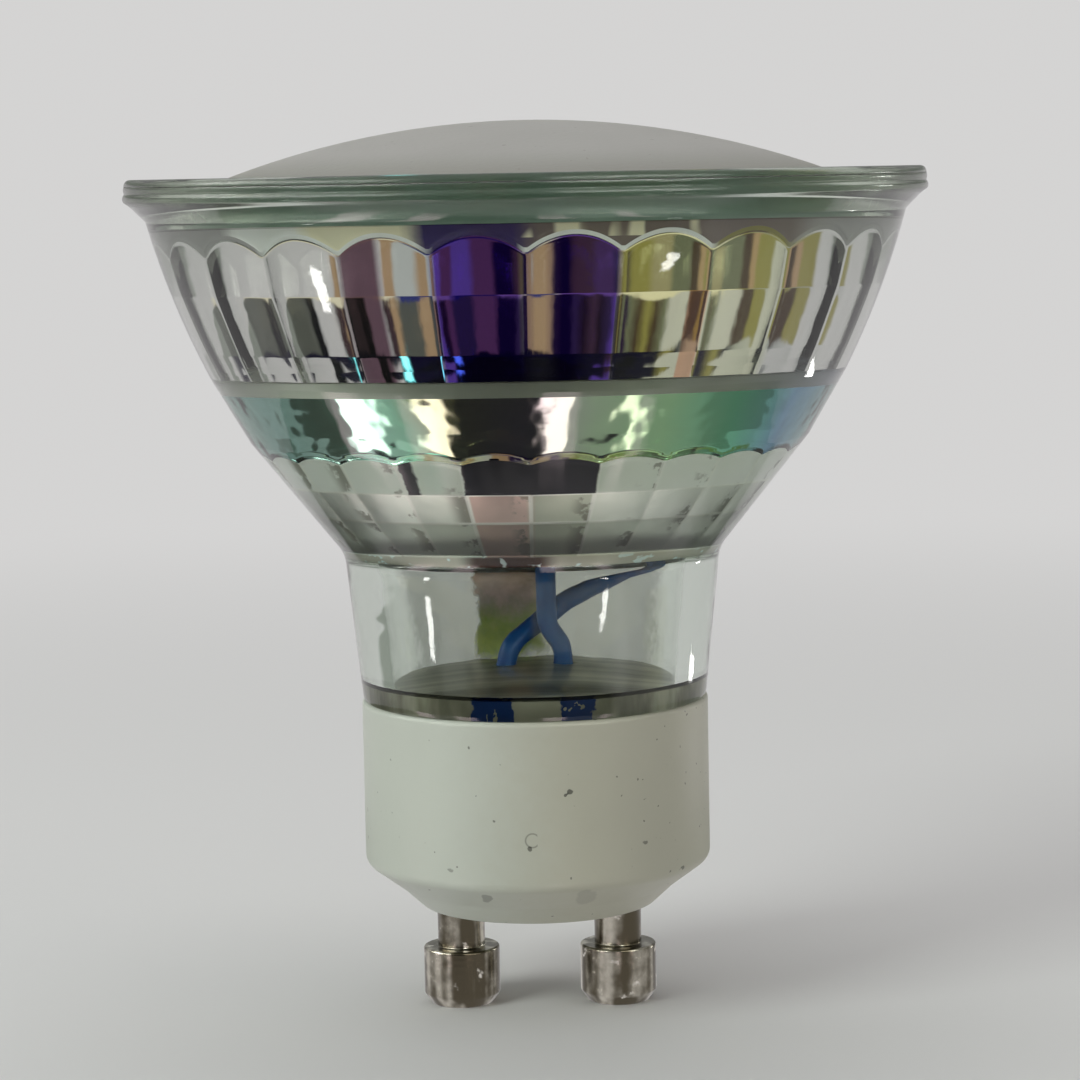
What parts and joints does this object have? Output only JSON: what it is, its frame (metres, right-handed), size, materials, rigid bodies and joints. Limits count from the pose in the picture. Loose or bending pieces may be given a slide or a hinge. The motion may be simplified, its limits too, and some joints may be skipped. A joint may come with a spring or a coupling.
{
  "type": "led spotlight bulb",
  "caption": "Spotlight bulb with a fluted pressed glass reflector, a frosted dome, a ceramic base and twist-lock pins.",
  "frame": {"origin": "on the bulb's axis, at the foot of the two contact pins", "axes": "+Z along the bulb's axis towards the dome, +X from the left pin to the right pin, -Y is the front"},
  "size_m": [0.05, 0.05, 0.056],
  "materials": {
    "pressed_glass": "clear pressed glass, mirror coated inside its flutes",
    "frosted_dome": "frosted, satin",
    "board_metal": "white lacquered board",
    "package_moulding": "black moulding with tinned legs",
    "resistor_ceramic": "dark ceramic with tinned caps",
    "fuse_barrel": "lacquered barrel with plated caps",
    "lead_sleeve": "blue sleeve",
    "solder": "bright solder",
    "base_ceramic": "white, speckled, satin glaze",
    "pin_plating": "nickel plated, polished",
    "cement": "pale cement",
    "clear_adhesive": "milky adhesive",
    "led_package": "white package with a yellow window"
  },
  "bodies": {
    "root": {"glass_reflector": "pressed_glass", "diffuser_dome": "frosted_dome", "led_board": "board_metal", "rectifier_bridge": "package_moulding", "driver_chip": "package_moulding", "chip_resistor_1": "resistor_ceramic", "chip_resistor_2": "resistor_ceramic", "input_fuse": "fuse_barrel", "lead_wire_left": "lead_sleeve", "lead_wire_right": "lead_sleeve", "solder_joint_left": "solder", "solder_joint_right": "solder", "ceramic_base": "base_ceramic", "contact_pin_left": "pin_plating", "contact_pin_right": "pin_plating", "base_cement": "cement", "dome_adhesive": "clear_adhesive", "led_chip_1": "led_package", "led_chip_2": "led_package", "led_chip_3": "led_package", "led_chip_4": "led_package", "led_chip_5": "led_package", "led_chip_6": "led_package", "led_chip_7": "led_package", "led_chip_8": "led_package"}
  },
  "joints": []
}
